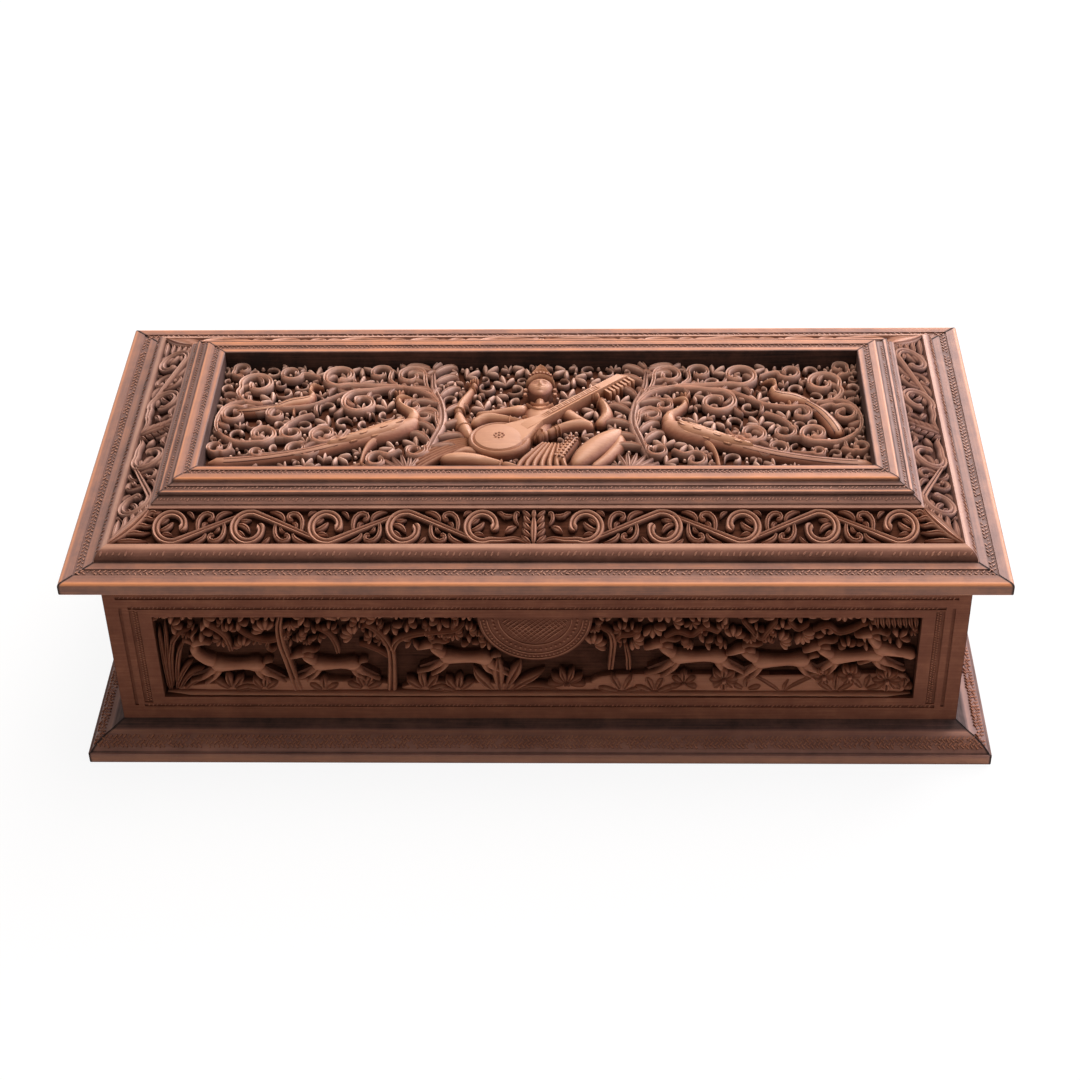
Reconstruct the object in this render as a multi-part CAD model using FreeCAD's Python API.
import FreeCAD, Part
import math
import os

from FreeCAD import Vector

# Carved sandalwood glove box: a hinged lid with a sunk carved panel, scroll friezes and mitred mouldings,
# on a box of four mitred walls with carved fields and a spreading plinth.
# Millimetres. The origin is the middle of the underside, +X runs along the length and the front faces -Y.
# An inset is measured inwards from the outer edge of the lid, and a height from the underside of the plinth.

# Lid in plan
lid_length = 330.0
lid_depth = 162.0

# Box
wall_inset = 11.5
wall_thickness = 10.0
wall_height = 79.5
mitre_gap = 0.3
bottom_thickness = 6.0
bottom_lift = 1.0
bottom_rebate = 4.0

# Carved field sunk in each wall, and the half-moon boss that hangs from the top of the front field
field_end_margin = 16.5
field_low = 21.5
field_high = 60.0
field_depth = 5.5
boss_radius = 20.5
boss_inset = 0.4

# Channels sunk in the border of each wall for its stamped rows and bands, measured from the field
channel_depth = 0.5
row_width = 1.3
row_rises = (4.1, 8.7)
row_drop = 4.1
row_overruns = (8.0, 12.0)
band_offset = 6.2
band_width = 3.2
quirk_offset = 10.8
quirk_width = 1.2

# Plinth
plinth_spread = 0.7
plinth_nose = 4.2
plinth_shelf_inset = 6.9
plinth_shelf_height = 9.1
plinth_height = 11.1
plinth_bulge = 0.9
plinth_quirk = 0.7

# Lid rim
seat_gap = 0.2
rim_nose = 4.8
rim_width = 11.0
rim_rise = 1.1
nose_round = 1.2
arris_round = 0.6
rim_channel_inset = 6.2
rim_channel_width = 3.0

# Sloping frieze with its ovolo foot
ovolo_run = 3.2
ovolo_rise = 4.4
ovolo_bulge = 0.8
frieze_run = 15.4
frieze_rise = 6.4
frieze_border = 1.2
frieze_depth = 3.0

# Scroll work of the frieze
scroll_pitch = 27.4
scroll_first = 18.0
scroll_end_room = 13.0
vine_width = 1.6
vine_root = 0.4
vine_clearance = 0.4
branch_offset = 0.5
spiral_chords = 9
spiral_start = -40.0
spiral_sweep = 450.0
spiral_tightening = 1.3
eye_radius = 1.9
eye_swell = 0.5
leaf_bulge = 1.2
leaf_lean = 4.0
corner_leaf_bulge = 2.6
palmette_angles = (-48.0, 0.0, 48.0)
palmette_bulge = 1.6

# Cornice
cornice_run = 7.2
cornice_step_run = 2.8
cornice_step_rise = 2.5
cornice_nose = 1.3
cornice_nose_bulge = 0.5
cornice_shelf_rise = 1.1
cornice_fillet = 0.6
cornice_channel_offset = 2.0
cornice_channel_width = 1.6

# Top frame and the sunk panel inside it
frame_width = 7.8
frame_rise = 1.5
frame_nose_round = 0.9
frame_lip_round = 0.5
frame_channel_offset = 4.2
frame_channel_width = 2.2
panel_thickness = 7.7

# Pictures carved in the sunk panel and in the front field. Each is drawn for an opening of these half
# sizes and stretched with it, and its forms stand out of the ground by these rises.
panel_picture = (120.4, 36.4)
panel_vine_width = 2.2
panel_vine_chords = 7
panel_vine_tightening = 0.7
panel_vine_rise = 3.6
round_sides = 14
figure_rise = 4.6
lute_rise = 5.2
field_picture = (137.0, 19.25)
forest_rise = 3.0
bank_rise = 2.4

# Brass butt hinges
hinge_end_inset = 70.0
leaf_length = 38.0
leaf_width = 8.2
leaf_thickness = 1.2
leaf_edge_gap = 0.3
knuckle_radius = 2.2
knuckle_clearance = 0.15
knuckle_side_gap = 0.2
knuckle_groove_clearance = 0.4
pin_radius = 0.9
pin_clearance = 0.05
mortise_clearance = 0.1

# Heights and insets that follow from the sizes above
lid_base = wall_height + seat_gap
rim_edge_top = lid_base + rim_nose
board_top = rim_edge_top + rim_rise
frieze_foot = rim_width + ovolo_run
frieze_low = board_top + ovolo_rise
frieze_head = frieze_foot + frieze_run
frieze_top = frieze_low + frieze_rise
frieze_slope = math.degrees(math.atan2(frieze_rise, frieze_run))
frieze_band = math.hypot(frieze_run, frieze_rise)
cornice_low = frieze_top + cornice_step_rise
cornice_nose_top = cornice_low + cornice_nose
frame_outer = frieze_head + cornice_run
frame_inner = frame_outer + frame_width
cornice_top = cornice_nose_top + cornice_shelf_rise
frame_top = cornice_top + frame_rise
panel_top = board_top + panel_thickness
wall_inner = wall_inset + wall_thickness
hinge_y = lid_depth / 2 - wall_inset + knuckle_radius + knuckle_clearance
hinge_z = wall_height + seat_gap / 2

# Drawings, from the middle of the opening: a row is a place along, a place up and half the width there.
# A scroll is the points that lead to it, its centre, its radius and the angles that it starts at and sweeps.
# The right half of the panel is drawn, and the left half is its mirror image.
stem_drawing = [(41.0, -23.0, 1.2), (36.0, -6.0, 1.7), (36.2, 9.0, 1.5), (40.5, 30.0, 0.9)]
scroll_drawings = [
    ([(36.0, 8.0), (42.0, 16.5), (52.0, 20.5), (63.0, 21.5)], (75.2, 28.0), 7.2, -118.0, 330.0),
    ([(50.0, 20.0), (58.0, 19.5)], (66.4, 10.6), 7.4, 92.0, -360.0),
    ([(103.0, 9.6), (110.0, 11.6)], (106.6, 22.8), 6.8, -24.0, 340.0),
    ([(115.4, 9.4), (118.0, 1.0), (115.0, -9.0)], (101.4, -9.6), 5.4, -78.0, -340.0),
    ([(69.0, -6.0)], (78.4, -9.4), 5.6, -150.0, 340.0),
]
peacock_drawings = [
    [(46.6, -1.6, 2.0), (50.0, -5.4, 4.4), (58.0, -9.4, 5.2), (72.0, -16.2, 2.6), (92.0, -24.0, 2.4),
     (119.0, -27.0, 2.6)],
    [(49.0, -3.0, 3.0), (49.4, 2.0, 2.2), (54.2, 9.4, 1.2), (52.6, 12.2, 1.2), (49.2, 11.3, 0.4)],
    [(61.0, -13.0, 1.6), (65.0, -21.0, 0.8), (65.8, -29.0, 0.8)],
]
small_bird_drawing = [(84.4, 23.6, 0.4), (88.2, 24.0, 1.2), (88.2, 17.0, 1.6), (93.0, 14.0, 2.8),
                      (99.0, 11.0, 2.0), (109.6, -7.0, 2.6)]
player_drawings = [
    [(0.5, -12.0, 4.2), (0.5, 3.0, 5.6), (0.6, 11.0, 2.2)],
    [(0.5, 21.0, 4.6), (0.4, 27.0, 3.4), (0.0, 34.6, 0.5)],
    [(-4.0, 7.4, 2.0), (-11.4, 5.8, 2.0), (-29.0, 4.4, 1.5)],
    [(-29.4, 3.6, 1.7), (-28.4, 10.0, 1.8), (-25.0, 27.0, 1.1)],
    [(-28.6, 1.0, 2.2), (-24.4, -3.6, 2.2), (-14.0, -0.4, 2.0), (-6.0, -2.4, 1.3)],
    [(6.0, 7.4, 2.2), (20.6, -4.2, 2.0)],
    [(20.6, -4.6, 1.8), (10.2, -5.0, 2.0), (2.8, -10.4, 1.3)],
    [(22.2, -3.4, 2.0), (25.2, 5.0, 2.1), (22.2, 13.0, 1.3)],
    [(13.6, -28.6, 2.4), (22.0, -16.6, 5.0), (30.6, -7.8, 1.4)],
    [(-34.4, -24.6, 1.8), (-26.0, -24.2, 3.0), (-5.4, -29.0, 1.0)],
]
head_place = (0.6, 17.6)
head_radius = 4.8
gourd_place = (-13.6, -13.4)
gourd_radius = 10.6
lute_neck_drawing = [(-7.6, -10.4, 1.9), (33.4, 27.4, 1.8)]

# One running deer from the middle of its body, and each deer's place, turn in degrees and size
deer_drawings = [
    [(-9.6, 0.5, 1.2), (-7.6, 0.4, 2.2), (7.6, 0.1, 2.0), (9.6, 0.3, 1.0)],
    [(-7.6, 0.8, 1.6), (-13.8, 5.8, 1.1), (-18.4, 4.6, 0.4)],
    [(-8.0, -0.6, 1.1), (-18.0, -5.2, 0.4)],
    [(8.4, -0.2, 1.4), (18.0, -5.8, 0.4)],
]
deer_places = [((-109.0, -6.0), 0.0, 0.95), ((-73.0, -5.6), 0.0, 0.85), ((-25.6, -2.4), -3.0, 0.92),
               ((58.4, -1.8), 0.0, 1.0), ((88.2, -3.8), 2.0, 1.0), ((115.0, -1.4), 5.0, 0.96)]
tree_drawings = [
    [(-87.6, -19.0, 1.4), (-92.0, 18.0, 0.8)],
    [(-53.2, -19.0, 1.4), (-52.5, 2.0, 1.0), (-57.6, 11.6, 0.7)],
    [(-52.4, 1.4, 0.9), (-49.0, 7.2, 0.7), (-30.0, 11.2, 0.6)],
    [(26.8, -7.6, 0.8), (27.8, 6.2, 0.8)],
    [(-13.6, -18.8, 0.5), (-13.9, -8.0, 1.8), (-13.8, -2.6, 0.4)],
    [(-11.6, -18.6, 0.5), (-8.0, -9.0, 1.5), (-6.0, -4.2, 0.4)],
    [(-10.0, -18.6, 0.4), (-1.6, -11.4, 1.0), (2.0, -8.6, 0.3)],
    [(-15.2, -18.6, 0.5), (-21.0, -11.0, 1.1), (-22.6, -7.6, 0.3)],
]
bank_drawings = [
    [(-120.0, -17.6, 1.6), (-88.0, -16.2, 3.0), (-56.0, -16.6, 2.4)],
    [(-44.0, -17.2, 1.8), (12.0, -17.2, 1.9)],
    [(24.0, -15.8, 3.2), (60.0, -15.0, 4.2), (134.0, -14.6, 4.6)],
]

# Each side of the rectangle is drawn as the front and turned into place about the vertical
SIDE_TURN = {"front": 0, "right": 90, "back": 180, "left": 270}


def half_sizes(side):
    """Half the lid's length along this side, and half its size across it."""
    if side in ("front", "back"):
        return lid_length / 2, lid_depth / 2
    return lid_depth / 2, lid_length / 2


def turned(shape, side):
    """A shape drawn on the front, turned to its own side."""
    shape.rotate(Vector(0, 0, 0), Vector(0, 0, 1), SIDE_TURN[side])
    return shape


def bulged(start, end, sagitta):
    """Middle of an arc from start to end that stands out to the left of the chord by the sagitta."""
    run = end[0] - start[0]
    rise = end[1] - start[1]
    chord = math.hypot(run, rise)
    middle_x = (start[0] + end[0]) / 2 - rise / chord * sagitta
    middle_y = (start[1] + end[1]) / 2 + run / chord * sagitta
    return middle_x, middle_y


def profile(start, *steps):
    """Closed moulding section in the inset and height plane.

    A step is a corner to draw a straight edge to, or a corner and a sagitta to draw an arc to.
    """
    edges = []
    here = start
    for step in steps + (start,):
        corner = step[:2]
        begin = Vector(0, *here)
        finish = Vector(0, *corner)
        if len(step) == 3:
            middle = Vector(0, *bulged(here, corner, step[2]))
            edges.append(Part.Arc(begin, middle, finish).toShape())
        else:
            edges.append(Part.LineSegment(begin, finish).toShape())
        here = corner
    return Part.Face(Part.Wire(edges))


def channelled(start, end, middle, width):
    """Corners of a straight edge from start to end with one square channel, its middle that far along."""
    run = end[0] - start[0]
    rise = end[1] - start[1]
    length = math.hypot(run, rise)
    corners = []
    for along, depth in ((-width / 2, 0), (-width / 2, channel_depth), (width / 2, channel_depth),
                         (width / 2, 0)):
        share = (middle + along) / length
        corners.append((start[0] + run * share + rise / length * depth,
                        start[1] + rise * share - run / length * depth))
    return corners + [end]


def mitre_wedge(side):
    """The plan space of one side between its two mitres, each set back by half the mitre gap."""
    half_length, half_depth = half_sizes(side)
    outside = 5.0
    reach = frame_inner + outside
    set_back = mitre_gap / 2 * math.sqrt(2)
    near = half_length + outside - set_back
    far = half_length - reach - set_back
    corners = [(-near, -half_depth - outside), (near, -half_depth - outside),
               (far, reach - half_depth), (-far, reach - half_depth)]
    points = [Vector(x, y, 0) for x, y in corners]
    outline = Part.makePolygon(points + points[:1])
    return Part.Face(outline).extrude(Vector(0, 0, frame_top + outside))


def run_of(section, side):
    """A moulding section carried along one side of the lid, longer than needed at both ends."""
    half_length, half_depth = half_sizes(side)
    spare = 10.0
    bar = section.extrude(Vector(2 * (half_length + spare), 0, 0))
    bar.translate(Vector(-half_length - spare, -half_depth, 0))
    return bar


def mitred(section, side):
    """A moulding section carried along one side and cut at both mitres."""
    return turned(run_of(section, side).common(mitre_wedge(side)), side)


def slab(inset, low, high):
    """A flat board with its edges at one inset all round."""
    length = lid_length - 2 * inset
    depth = lid_depth - 2 * inset
    return Part.makeBox(length, depth, high - low, Vector(-length / 2, -depth / 2, low))


def export(shape, node):
    """Write one piece under its own name."""
    shape.exportStep("parts/" + node + ".step")


def wall_section():
    """Upright board with a rebate at its inner foot for the bottom board."""
    rebate_top = bottom_lift + bottom_thickness
    rebate_inset = wall_inner - bottom_rebate
    return profile((wall_inset, 0), (wall_inset, wall_height), (wall_inner, wall_height),
                   (wall_inner, rebate_top), (rebate_inset, rebate_top), (rebate_inset, 0))


def field_pocket(side):
    """The space cut out of a wall for its carved field, in the front wall without the half-moon boss."""
    half_length, half_depth = half_sizes(side)
    half_field = half_length - wall_inset - field_end_margin
    face_y = wall_inset - half_depth
    pocket = Part.makeBox(2 * half_field, field_depth, field_high - field_low,
                          Vector(-half_field, face_y, field_low))
    if side == "front":
        boss = Part.makeCylinder(boss_radius, field_depth, Vector(0, face_y + boss_inset, field_high),
                                 Vector(0, 1, 0))
        pocket = pocket.cut(boss)
    return pocket


def deer_rows(place, turn, size):
    """Rows of one deer, turned, scaled and moved to its place."""
    cos = size * math.cos(math.radians(turn))
    sin = size * math.sin(math.radians(turn))
    return [[(place[0] + along * cos - up * sin, place[1] + along * sin + up * cos, half * size)
             for along, up, half in drawing] for drawing in deer_drawings]


def forest_relief(side):
    """Deer, trees and banks of a carved field, standing on its ground."""
    half_length, half_depth = half_sizes(side)
    half_field = half_length - wall_inset - field_end_margin
    share = picture_share((half_field, (field_high - field_low) / 2), field_picture)
    forms = list(tree_drawings)
    for deer in deer_places:
        forms += deer_rows(*deer)
    relief = [raised(strip(rows, share), 0, forest_rise) for rows in forms]
    relief += [raised(strip(rows, share), 0, bank_rise) for rows in bank_drawings]
    for form in relief:
        form.rotate(Vector(0, 0, 0), Vector(1, 0, 0), 90)
        form.translate(Vector(0, wall_inset + field_depth - half_depth, (field_low + field_high) / 2))
    return relief


def border_channels(side):
    """The channels round a carved field: rows above and below it, and a band and a quirk up each side."""
    half_length, half_depth = half_sizes(side)
    half_field = half_length - wall_inset - field_end_margin
    face_y = wall_inset - half_depth
    cuts = []

    def sink(middle_x, middle_z, width, height):
        corner = Vector(middle_x - width / 2, face_y, middle_z - height / 2)
        cuts.append(Part.makeBox(width, channel_depth, height, corner))

    low_row = field_low - row_drop
    high_row = field_high + row_rises[0]
    for rise, overrun in zip(row_rises, row_overruns):
        sink(0, field_high + rise, 2 * (half_field + overrun), row_width)
    sink(0, low_row, 2 * (half_field + row_overruns[0]), row_width)
    band_height = high_row - low_row - 2 * row_width
    for hand in (-1, 1):
        sink(hand * (half_field + band_offset), (low_row + high_row) / 2, band_width, band_height)
        sink(hand * (half_field + quirk_offset), (low_row + high_row) / 2, quirk_width, high_row - low_row)
    return cuts


def hinge_places():
    """Middle of each hinge along the length, by the side of the box it is on."""
    reach = lid_length / 2 - hinge_end_inset
    return {"left": -reach, "right": reach}


def leaf_plate(middle, start_x, length, outer_y, up, spare):
    """Flat of a hinge leaf, from the inner edge of the leaf to outer_y, larger in plan by the spare."""
    inner_y = lid_depth / 2 - wall_inset - leaf_width
    low = hinge_z + seat_gap / 2 if up > 0 else hinge_z - seat_gap / 2 - leaf_thickness
    return Part.makeBox(length + 2 * spare, outer_y - inner_y + spare, leaf_thickness,
                        Vector(middle + start_x - spare, inner_y - spare, low))


def hinge_leaf(middle, up):
    """One leaf of a butt hinge: the lid's leaf has the middle knuckle, the box's leaf the two outer ones."""
    third = leaf_length / 3
    starts = [-third / 2] if up > 0 else [-leaf_length / 2, third / 2]
    back_face = lid_depth / 2 - wall_inset
    leaf = leaf_plate(middle, -leaf_length / 2, leaf_length, back_face - leaf_edge_gap, up, 0)
    for start in starts:
        begin = start + knuckle_side_gap / 2
        length = third - knuckle_side_gap
        barrel = Part.makeCylinder(knuckle_radius, length, Vector(middle + begin, hinge_y, hinge_z),
                                   Vector(1, 0, 0))
        leaf = leaf.fuse([leaf_plate(middle, begin, length, hinge_y, up, 0), barrel])
    bore = Part.makeCylinder(pin_radius + pin_clearance, leaf_length,
                             Vector(middle - leaf_length / 2, hinge_y, hinge_z), Vector(1, 0, 0))
    return leaf.cut(bore).removeSplitter()


def hinge_pin(middle):
    """Straight pin through the knuckles of one hinge."""
    return Part.makeCylinder(pin_radius, leaf_length, Vector(middle - leaf_length / 2, hinge_y, hinge_z),
                             Vector(1, 0, 0))


def leaf_mortises(up):
    """The flat recesses that let the leaves in flush."""
    back_edge = lid_depth / 2 - wall_inset + knuckle_clearance
    return [leaf_plate(middle, -leaf_length / 2, leaf_length, back_edge, up, mortise_clearance)
            for middle in hinge_places().values()]


def knuckle_grooves():
    """Round grooves in the underside of the lid that the knuckles turn in."""
    radius = knuckle_radius + knuckle_groove_clearance
    length = leaf_length + 2 * knuckle_groove_clearance
    return [Part.makeCylinder(radius, length, Vector(middle - length / 2, hinge_y, hinge_z), Vector(1, 0, 0))
            for middle in hinge_places().values()]


def wall(side):
    """One wall of the box with its field sunk, and the back one let out for the hinges."""
    bar = run_of(wall_section(), side).common(mitre_wedge(side))
    bar = bar.cut([field_pocket(side)] + border_channels(side))
    if side == "front":
        bar = bar.fuse(forest_relief(side)).removeSplitter()
    bar = turned(bar, side)
    if side == "back":
        bar = bar.cut(leaf_mortises(-1))
    return bar


def bottom_board():
    """Board let into the rebates of the four walls, clear of what the box stands on."""
    return slab(wall_inner - bottom_rebate, bottom_lift, bottom_lift + bottom_thickness)


def plinth(side):
    """Spreading foot: a plain nose, a quirk, a rounded slope and a narrow shelf against the wall."""
    shelf = (plinth_shelf_inset, plinth_shelf_height)
    section = profile((wall_inset, 0), (-plinth_spread, 0), (-plinth_spread, plinth_nose),
                      (plinth_quirk - plinth_spread, plinth_nose), shelf + (plinth_bulge,),
                      (wall_inset, plinth_height))
    return mitred(section, side)


def lid_rim(side):
    """Overhanging edge of the lid with a rounded nose, the back one grooved for the knuckles."""
    slope = rim_rise / rim_width
    upper_nose = (nose_round, rim_edge_top + nose_round * slope)
    quarter = 1 - math.sqrt(0.5)
    section = profile((rim_width, lid_base), (arris_round, lid_base),
                      (0, lid_base + arris_round, arris_round * quarter),
                      (0, rim_edge_top - nose_round), upper_nose + (nose_round * quarter,),
                      *channelled(upper_nose, (rim_width, board_top), rim_channel_inset - nose_round,
                                  rim_channel_width))
    rim = mitred(section, side)
    if side == "back":
        rim = rim.cut(knuckle_grooves())
    return rim


def lid_board():
    """Flat board inside the rim that carries the friezes and the panel and takes the hinge leaves."""
    board = slab(rim_width, lid_base, board_top)
    return board.cut(leaf_mortises(1) + knuckle_grooves())


def on_circle(centre, radius, angle):
    """Point of a circle at an angle in degrees."""
    turn = math.radians(angle)
    return Vector(centre[0] + radius * math.cos(turn), centre[1] + radius * math.sin(turn), 0)


def ribbon(arcs):
    """Vine of even width along arcs of a centre, radius, start and end angle, bridged by straight runs."""
    half = vine_width / 2
    left = []
    right = []
    for centre, radius, start, end in arcs:
        hand = 1 if end > start else -1
        left.append((centre, radius - hand * half, start, end))
        right.append((centre, radius + hand * half, end, start))
    outline = left + right[::-1]
    edges = []
    for index, (centre, radius, start, end) in enumerate(outline):
        middle = on_circle(centre, radius, (start + end) / 2)
        last = on_circle(centre, radius, end)
        edges.append(Part.Arc(on_circle(centre, radius, start), middle, last).toShape())
        following = outline[(index + 1) % len(outline)]
        first = on_circle(*following[:3])
        if last.distanceToPoint(first) > 1e-6:
            edges.append(Part.LineSegment(last, first).toShape())
    return raised(Part.Wire(edges))


def raised(wire, ground=-frieze_depth, rise=frieze_depth):
    """Relief from just under its sunk ground up to its rise, which in a frieze is the face of the board."""
    face = Part.Face(wire)
    face.translate(Vector(0, 0, ground - vine_root))
    return face.extrude(Vector(0, 0, rise + vine_root))


def leaf(root, tip, bulge):
    """Pointed leaf between two equal arcs."""
    there = Part.Arc(Vector(*root, 0), Vector(*bulged(root, tip, bulge), 0), Vector(*tip, 0)).toShape()
    back = Part.Arc(Vector(*tip, 0), Vector(*bulged(tip, root, bulge), 0), Vector(*root, 0)).toShape()
    return raised(Part.Wire([there, back]))


def spiral(centre, hand, upright, radius):
    """Vine that winds in from the wave to a thick eye; hand and upright mirror it along and across."""
    outer = []
    inner = []
    for step in range(spiral_chords + 1):
        share = step / spiral_chords
        angle = math.radians(spiral_start + spiral_sweep * share)
        middle = radius - branch_offset - (radius - eye_radius) * share ** spiral_tightening
        half = vine_width / 2 * (1 + eye_swell * share)
        for edge, reach in ((outer, middle + half), (inner, middle - half)):
            edge.append(Vector(centre[0] + hand * reach * math.cos(angle),
                               centre[1] + upright * reach * math.sin(angle), 0))
    return raised(Part.makePolygon(outer + inner[::-1] + outer[:1]))


def mirrored(shift, radius, start, end, centre, hand, upright):
    """One arc of the scroll work, mirrored as asked and set at a centre."""
    place = (centre[0] + hand * shift[0], centre[1] + upright * shift[1])
    if hand < 0:
        start = 180.0 - start
        end = 180.0 - end
    return place, radius, upright * start, upright * end


def scroll_centres(half_length):
    """Distances of the scrolls from the middle of one frieze."""
    last = half_length - (frieze_foot + frieze_head) / 2 - scroll_end_room
    count = int((last - scroll_first) / scroll_pitch) + 1
    return [scroll_first + scroll_pitch * index for index in range(count)]


def half_scrolls(half_length, hand):
    """Waving stem, curls and gap leaves of one half of a frieze, drawn flat."""
    middle = frieze_band / 2
    reach = middle - frieze_border
    radius = reach - vine_clearance - vine_width / 2
    crossing = math.degrees(math.asin(2 * radius / scroll_pitch))
    centres = scroll_centres(half_length)
    stem = []
    relief = []
    for index, distance in enumerate(centres):
        upright = 1 if index % 2 == 0 else -1
        centre = (hand * distance, middle)
        begin = -150.0 if index == 0 else -90.0 - crossing
        stem.append(mirrored((0, 0), radius, begin, crossing - 90.0, centre, hand, upright))
        relief.append(spiral(centre, hand, upright, radius))
        if index + 1 < len(centres):
            gap = distance + scroll_pitch / 2
            root = (hand * (gap - leaf_lean / 2), middle)
            tip = (hand * (gap - leaf_lean), middle + upright * (reach - vine_clearance))
            relief.append(leaf(root, tip, leaf_bulge))
    relief.append(ribbon(stem))
    return relief


def palmette():
    """Fan of leaves in the middle of a frieze."""
    root = (0.0, frieze_border + 0.6)
    length = frieze_band - 2 * frieze_border - 0.9
    made = []
    for angle in palmette_angles:
        lean = math.radians(angle)
        size = length * (1 - abs(angle) / 200)
        tip = (root[0] + size * math.sin(lean), root[1] + size * math.cos(lean))
        made.append(leaf(root, tip, palmette_bulge))
    return made


def corner_leaves(half_length):
    """Leaf along each mitre, which the mitre then halves."""
    made = []
    for hand in (-1, 1):
        ends = [frieze_border - vine_root, frieze_band - frieze_border + vine_root]
        along = math.cos(math.radians(frieze_slope))
        root, tip = [(hand * (half_length - frieze_foot - rise * along), rise) for rise in ends]
        made.append(leaf(root, tip, corner_leaf_bulge))
    return made


def on_slope(shape, half_depth):
    """A shape drawn flat, laid on the sloping face of the front frieze."""
    shape.rotate(Vector(0, 0, 0), Vector(1, 0, 0), frieze_slope)
    shape.translate(Vector(0, frieze_foot - half_depth, frieze_low))
    return shape


def frieze_ground(half_length):
    """The space sunk between the borders of a frieze, drawn flat."""
    length = 2 * half_length
    return Part.makeBox(length, frieze_band - 2 * frieze_border, 2 * frieze_depth,
                        Vector(-half_length, frieze_border, -frieze_depth))


def frieze(side):
    """Sloping board with an ovolo foot and scrolls left standing on a sunk ground."""
    half_length, half_depth = half_sizes(side)
    section = profile((rim_width, board_top), (frieze_foot, frieze_low, ovolo_bulge),
                      (frieze_head, frieze_top), (frieze_head, board_top))
    board = run_of(section, side).cut(on_slope(frieze_ground(half_length), half_depth))
    relief = palmette() + corner_leaves(half_length)
    for hand in (-1, 1):
        relief += half_scrolls(half_length, hand)
    carved = board.fuse([on_slope(piece, half_depth) for piece in relief])
    return turned(carved.common(mitre_wedge(side)).removeSplitter(), side)


def cornice(side):
    """Stepped moulding between the frieze and the top frame."""
    step_inset = frieze_head + cornice_step_run
    nose = (step_inset, cornice_nose_top)
    section = profile((frieze_head, board_top), (frieze_head, frieze_top + cornice_fillet),
                      (step_inset, cornice_low), nose + (cornice_nose_bulge,),
                      *channelled(nose, (frame_outer, cornice_top), cornice_channel_offset,
                                  cornice_channel_width),
                      (frame_outer, board_top))
    return mitred(section, side)


def top_frame(side):
    """Flat frame round the sunk panel, standing on the panel's margin."""
    quarter = 1 - math.sqrt(0.5)
    section = profile((frame_outer, panel_top), (frame_outer, frame_top - frame_nose_round),
                      (frame_outer + frame_nose_round, frame_top, frame_nose_round * quarter),
                      *channelled((frame_outer + frame_nose_round, frame_top),
                                  (frame_inner - frame_lip_round, frame_top),
                                  frame_channel_offset - frame_nose_round, frame_channel_width),
                      (frame_inner, frame_top - frame_lip_round, frame_lip_round * quarter),
                      (frame_inner, panel_top))
    return mitred(section, side)


def strip(rows, share):
    """Outline along the rows of a drawing, square at both ends and stretched by its shares along and up."""
    left = []
    right = []
    for index, (along, up, half) in enumerate(rows):
        before = rows[max(index - 1, 0)]
        after = rows[min(index + 1, len(rows) - 1)]
        run = after[0] - before[0]
        rise = after[1] - before[1]
        length = math.hypot(run, rise)
        for edge, hand in ((left, 1), (right, -1)):
            edge.append(Vector((along - hand * half * rise / length) * share[0],
                               (up + hand * half * run / length) * share[1], 0))
    return Part.makePolygon(left + right[::-1] + left[:1])


def scroll_rows(lead, centre, radius, start, sweep):
    """Rows of a vine of the panel: the points that lead to a scroll, and the scroll winding in to its eye."""
    half = panel_vine_width / 2
    rows = [(along, up, half) for along, up in lead]
    for step in range(panel_vine_chords + 1):
        wound = step / panel_vine_chords
        angle = math.radians(start + sweep * wound)
        reach = radius * (1 - panel_vine_tightening * wound)
        rows.append((centre[0] + reach * math.cos(angle), centre[1] + reach * math.sin(angle), half))
    return rows


def both_hands(rows):
    """A drawing and its mirror image."""
    return [rows, [(-along, up, half) for along, up, half in rows]]


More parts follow.
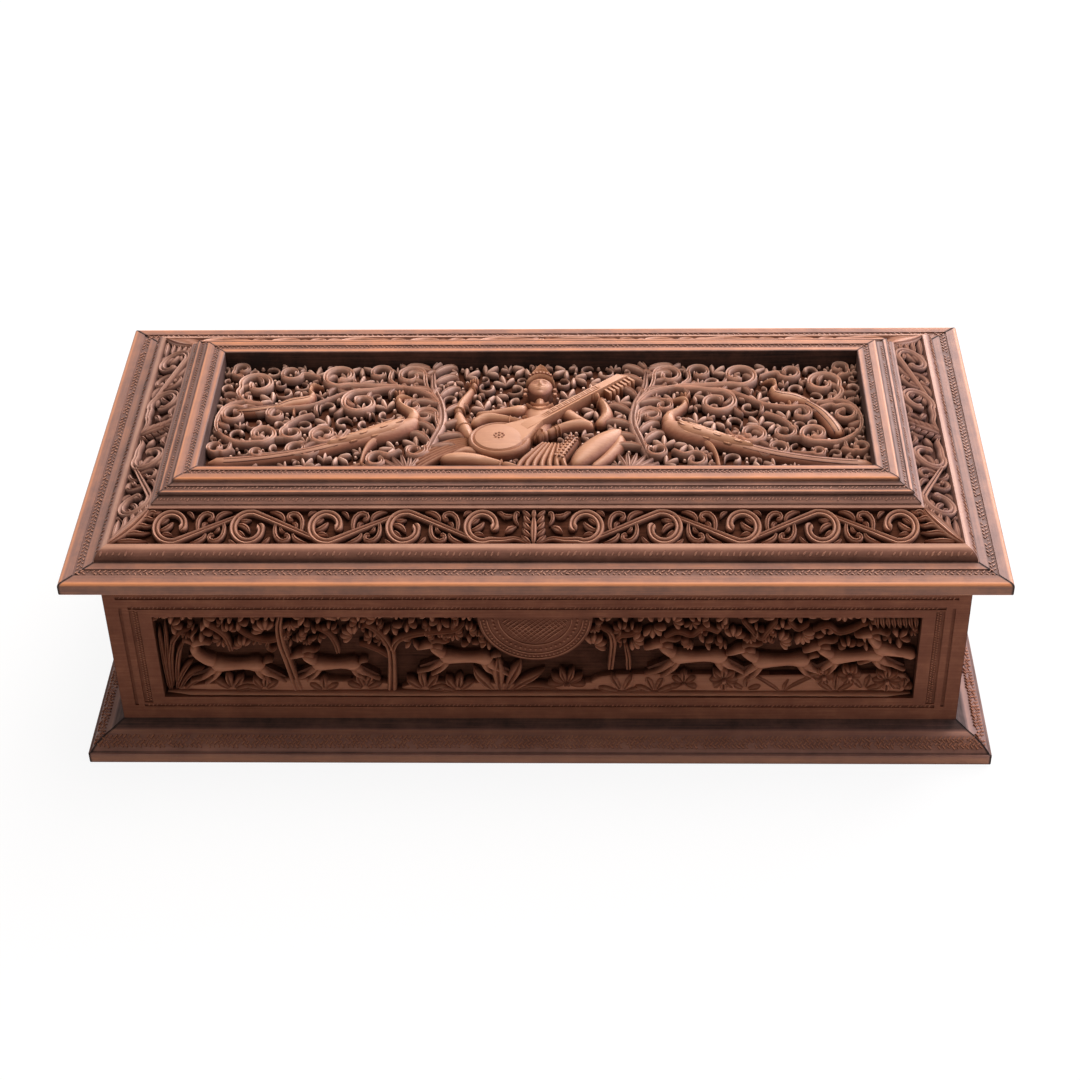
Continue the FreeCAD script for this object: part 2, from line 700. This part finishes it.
def rounded(place, radius, share):
    """Outline of a round form of a picture, cut with few sides."""
    turns = [2 * math.pi * side / round_sides for side in range(round_sides + 1)]
    return Part.makePolygon([Vector((place[0] + radius * math.cos(turn)) * share[0],
                                    (place[1] + radius * math.sin(turn)) * share[1], 0) for turn in turns])


def picture_share(opening, picture):
    """How far a picture is stretched along and up to fill its opening, from half sizes."""
    return opening[0] / picture[0], opening[1] / picture[1]


def panel_relief():
    """Lute player, birds and vines of the sunk panel, drawn flat on its ground."""
    share = picture_share((lid_length / 2 - frame_inner, lid_depth / 2 - frame_inner), panel_picture)
    vines = both_hands(stem_drawing)
    for drawing in scroll_drawings:
        vines += both_hands(scroll_rows(*drawing))
    birds = both_hands(small_bird_drawing)
    for drawing in peacock_drawings:
        birds += both_hands(drawing)
    relief = [raised(strip(rows, share), 0, panel_vine_rise) for rows in vines]
    relief += [raised(strip(rows, share), 0, figure_rise) for rows in birds + player_drawings]
    relief.append(raised(strip(lute_neck_drawing, share), 0, lute_rise))
    for place, radius in ((gourd_place, gourd_radius), (head_place, head_radius)):
        relief.append(raised(rounded(place, radius, share), 0, lute_rise))
    return relief


def top_panel():
    """Board of the sunk panel, which runs under the top frame, with its picture left standing."""
    board = slab(frame_outer, board_top, panel_top)
    relief = panel_relief()
    for form in relief:
        form.translate(Vector(0, 0, panel_top))
    return board.fuse(relief).removeSplitter()


def main():
    """Make every piece and write it out."""
    os.makedirs("parts", exist_ok=True)
    for side in SIDE_TURN:
        export(wall(side), side + "_wall")
        export(plinth(side), "plinth_" + side)
        export(lid_rim(side), "lid_rim_" + side)
        export(frieze(side), "frieze_" + side)
        export(cornice(side), "cornice_" + side)
        export(top_frame(side), "top_frame_" + side)
    export(bottom_board(), "bottom_board")
    export(lid_board(), "lid_board")
    export(top_panel(), "top_panel")
    for name, middle in hinge_places().items():
        export(hinge_leaf(middle, -1), "hinge_base_leaf_" + name)
        export(hinge_leaf(middle, 1), "hinge_lid_leaf_" + name)
        export(hinge_pin(middle), "hinge_pin_" + name)


main()
